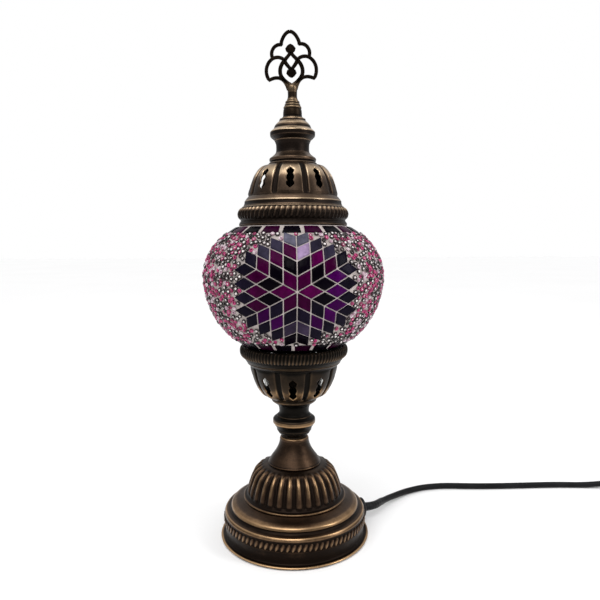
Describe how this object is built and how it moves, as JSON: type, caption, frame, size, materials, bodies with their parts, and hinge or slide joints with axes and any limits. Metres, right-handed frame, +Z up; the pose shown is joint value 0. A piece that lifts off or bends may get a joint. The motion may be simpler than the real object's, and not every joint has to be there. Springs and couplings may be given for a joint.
{
  "type": "mosaic glass table lamp",
  "caption": "Round mosaic glass globe between two pierced brass galleries on a turned brass foot, with an openwork finial and a mains cord.",
  "frame": {"origin": "centre of the foot on the surface that the lamp stands on", "axes": "+Z up along the lamp's stem, -Y towards the front, +X towards the side where the cord leaves"},
  "size_m": [0.4507, 0.1495, 0.371],
  "materials": {
    "felt": "dark green felt",
    "steel": "zinc plated",
    "base_brass": "antiqued, rubbed highlights",
    "dark_brass": "dark antiqued, rubbed highlights",
    "cap_brass": "satin, antiqued",
    "finial_metal": "blackened",
    "clear_glass": "clear blown glass",
    "mosaic": "glass tiles and beads in cream grout",
    "rubber": "matt",
    "bakelite": "moulded",
    "shell_brass": "bright",
    "bulb_glass": "clear",
    "cord_pvc": "satin PVC",
    "black_plastic": "satin moulded"
  },
  "bodies": {
    "lamp_foot": {"felt_pad": "felt", "bottom_plate": "steel", "base_drum": "base_brass", "base_dome": "base_brass", "base_cone": "base_brass", "stem_knop": "dark_brass", "neck_spool": "dark_brass", "lamp_tube": "steel", "foot_washer": "steel", "foot_nut": "steel", "gallery_nut": "steel", "lower_gallery": "dark_brass", "lower_rim": "dark_brass", "globe_seat_lower": "steel", "globe_gasket_lower": "rubber", "harp_saddle": "steel", "harp": "steel", "harp_stud": "steel", "holder_cap": "bakelite", "holder_body": "bakelite", "holder_screw_shell": "shell_brass", "holder_contact": "shell_brass", "inner_lead": "cord_pvc", "cord_gland": "black_plastic", "gland_nut": "black_plastic", "strain_relief": "black_plastic", "cord_run": "cord_pvc", "cord_to_coil": "cord_pvc", "cord_coil": "cord_pvc", "cord_tail": "cord_pvc", "cord_tie": "black_plastic", "switch_base": "black_plastic", "switch_cover": "black_plastic", "plug_relief": "black_plastic", "plug_body": "black_plastic", "plug_pin_front": "shell_brass", "plug_pin_back": "shell_brass"},
    "globe": {"globe_glass": "clear_glass", "mosaic_skin": "mosaic"},
    "cap": {"globe_gasket_upper": "rubber", "globe_seat_upper": "steel", "upper_rim": "cap_brass", "upper_gallery": "cap_brass", "crown_neck": "cap_brass", "crown_cone": "cap_brass"},
    "finial_top": {"finial": "finial_metal", "finial_collar": "finial_metal"},
    "bulb": {"bulb_envelope": "bulb_glass", "bulb_cap": "shell_brass", "bulb_contact": "bakelite", "filament_stem": "bulb_glass"},
    "rocker": {"switch_rocker": "black_plastic"}
  },
  "joints": [
    {"name": "globe_lift", "type": "slide", "parent": "lamp_foot", "child": "globe", "axis": [0, 0, 1], "range_m": [0, 0.19]},
    {"name": "cap_lift", "type": "slide", "parent": "globe", "child": "cap", "axis": [0, 0, 1], "range_m": [0, 0.1]},
    {"name": "finial_turn", "type": "hinge", "parent": "cap", "child": "finial_top", "pos_m": [0, 0, 0.33], "axis": [0, 0, 1], "continuous": true},
    {"name": "bulb_turn", "type": "hinge", "parent": "lamp_foot", "child": "bulb", "pos_m": [0, 0, 0.14], "axis": [0, 0, 1], "continuous": true},
    {"name": "switch_rock", "type": "hinge", "parent": "lamp_foot", "child": "rocker", "pos_m": [0.321, 0.072, 0.012], "axis": [0, 1, 0], "range_deg": [-8, 8]}
  ]
}
